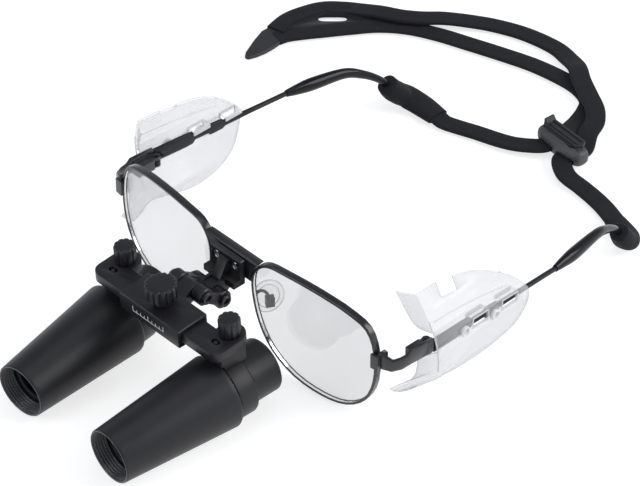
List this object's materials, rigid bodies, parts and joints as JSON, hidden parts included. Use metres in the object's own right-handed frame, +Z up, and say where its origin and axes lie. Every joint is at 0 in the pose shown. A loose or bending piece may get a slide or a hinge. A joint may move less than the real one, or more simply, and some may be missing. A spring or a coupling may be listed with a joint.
{
  "type": "dental loupes",
  "caption": "Flip-up binocular dental loupes: conical barrels on a two-pivot hinge and sliding arms, carried by a metal spectacle frame with side shields and a head strap.",
  "frame": {"origin": "middle of the base of the box round the rigid part, on the table that the barrels and rims rest on", "axes": "+X to the wearer's left, +Y to the back of the head along the temples, +Z up"},
  "size_m": [0.2093, 0.2978, 0.0523],
  "materials": {
    "frame_black": "gloss",
    "lens_clear": "clear",
    "pad_clear": "clear",
    "shield_clear": "clear",
    "tip_black": "gloss",
    "strap_black": "matte",
    "lock_black": "matte",
    "steel": "brushed",
    "mount_black": "satin anodised",
    "barrel_black": "satin anodised",
    "optic_glass": "coated"
  },
  "bodies": {
    "frame": {"bridge_bar": "frame_black", "rim_left": "frame_black", "lens_left": "lens_clear", "endpiece_left": "frame_black", "rim_screw_left": "steel", "hinge_screw_left": "steel", "pad_arm_left": "frame_black", "bracket_screw_left": "steel", "strap_strand_left": "strap_black", "rim_right": "frame_black", "lens_right": "lens_clear", "endpiece_right": "frame_black", "rim_screw_right": "steel", "hinge_screw_right": "steel", "pad_arm_right": "frame_black", "bracket_screw_right": "steel", "strap_strand_right": "strap_black", "strap_tail_outer": "strap_black", "strap_tail_inner": "strap_black", "strap_end_tab": "lock_black", "lock_body": "lock_black", "lock_spring": "steel", "mount_bracket": "mount_black", "rear_pivot_pin": "mount_black"},
    "temple_left": {"temple_left": "frame_black", "temple_tip_left": "tip_black", "side_shield_left": "shield_clear", "strap_sleeve_left": "strap_black"},
    "nose_pad_left": {"nose_pad_left": "pad_clear"},
    "temple_right": {"temple_right": "frame_black", "temple_tip_right": "tip_black", "side_shield_right": "shield_clear", "strap_sleeve_right": "strap_black"},
    "nose_pad_right": {"nose_pad_right": "pad_clear"},
    "lock_button": {"lock_button": "lock_black"},
    "link": {"hinge_link": "mount_black", "front_pivot_pin": "mount_black"},
    "carrier": {"slide_block": "mount_black", "slide_cover": "mount_black"},
    "pd_knob": {"pd_knob": "mount_black", "pd_pinion": "steel"},
    "arm_left": {"slide_arm_left": "mount_black"},
    "arm_knob_left": {"arm_knob_left": "mount_black"},
    "barrel_left": {"barrel_foot_left": "mount_black", "barrel_body_left": "barrel_black", "eyepiece_housing_left": "barrel_black", "objective_ring_left": "barrel_black", "objective_lens_left": "optic_glass", "prism_left": "optic_glass", "eyepiece_lens_left": "optic_glass"},
    "arm_right": {"slide_arm_right": "mount_black"},
    "arm_knob_right": {"arm_knob_right": "mount_black"},
    "barrel_right": {"barrel_foot_right": "mount_black", "barrel_body_right": "barrel_black", "eyepiece_housing_right": "barrel_black", "objective_ring_right": "barrel_black", "objective_lens_right": "optic_glass", "prism_right": "optic_glass", "eyepiece_lens_right": "optic_glass"}
  },
  "joints": [
    {"name": "temple_fold_left", "type": "hinge", "parent": "frame", "child": "temple_left", "pos_m": [0.07164, -0.00219, 0.03], "axis": [0, 0, 1], "range_deg": [0, 82], "deforming": ["strap_strand_left"]},
    {"name": "temple_fold_right", "type": "hinge", "parent": "frame", "child": "temple_right", "pos_m": [-0.07164, -0.00219, 0.03], "axis": [0, 0, -1], "range_deg": [0, 65], "deforming": ["strap_strand_right"]},
    {"name": "nose_pad_rock_left", "type": "hinge", "parent": "frame", "child": "nose_pad_left", "pos_m": [0.00979, -0.02014, 0.0246], "axis": [0, 0, 1], "range_deg": [-8, 8]},
    {"name": "nose_pad_rock_right", "type": "hinge", "parent": "frame", "child": "nose_pad_right", "pos_m": [-0.00979, -0.02014, 0.0246], "axis": [0, 0, 1], "range_deg": [-8, 8]},
    {"name": "lock_button_press", "type": "slide", "parent": "frame", "child": "lock_button", "axis": [0, 0, -1], "range_m": [0, 0.0009], "stiffness_N_per_m": 600, "springref_m": -0.0015, "deforming": ["lock_spring"]},
    {"name": "link_hinge", "type": "hinge", "parent": "frame", "child": "link", "pos_m": [0, -0.04099, 0.03308], "axis": [-1, 0, 0], "range_deg": [-5, 25]},
    {"name": "carrier_hinge", "type": "hinge", "parent": "link", "child": "carrier", "pos_m": [0, -0.04959, 0.03915], "axis": [-1, 0, 0], "range_deg": [-10, 60]},
    {"name": "arm_slide_left", "type": "slide", "parent": "carrier", "child": "arm_left", "axis": [1, 0, 0], "range_m": [-0.0017, 0.0045]},
    {"name": "arm_slide_right", "type": "slide", "parent": "carrier", "child": "arm_right", "axis": [-1, 0, 0], "range_m": [-0.0017, 0.0045]},
    {"name": "pd_knob_turn", "type": "hinge", "parent": "carrier", "child": "pd_knob", "pos_m": [0, -0.06263, 0.03819], "axis": [0, -0.0732, 0.9973], "range_deg": [-41, 108]},
    {"name": "barrel_swivel_left", "type": "hinge", "parent": "arm_left", "child": "barrel_left", "pos_m": [0.0277, -0.05393, 0.01497], "axis": [0, -0.0732, 0.9973], "range_deg": [-5, 5]},
    {"name": "arm_knob_turn_left", "type": "hinge", "parent": "arm_left", "child": "arm_knob_left", "pos_m": [0.0277, -0.05567, 0.0387], "axis": [0, -0.0732, 0.9973], "continuous": true},
    {"name": "barrel_swivel_right", "type": "hinge", "parent": "arm_right", "child": "barrel_right", "pos_m": [-0.0277, -0.05393, 0.01497], "axis": [0, -0.0732, 0.9973], "range_deg": [-5, 5]},
    {"name": "arm_knob_turn_right", "type": "hinge", "parent": "arm_right", "child": "arm_knob_right", "pos_m": [-0.0277, -0.05567, 0.0387], "axis": [0, -0.0732, 0.9973], "continuous": true}
  ],
  "couplings": [
    {"joint": "arm_slide_right", "follows": "arm_slide_left", "ratio": 1},
    {"joint": "pd_knob_turn", "follows": "arm_slide_left", "rad_per_m": 416.67}
  ]
}
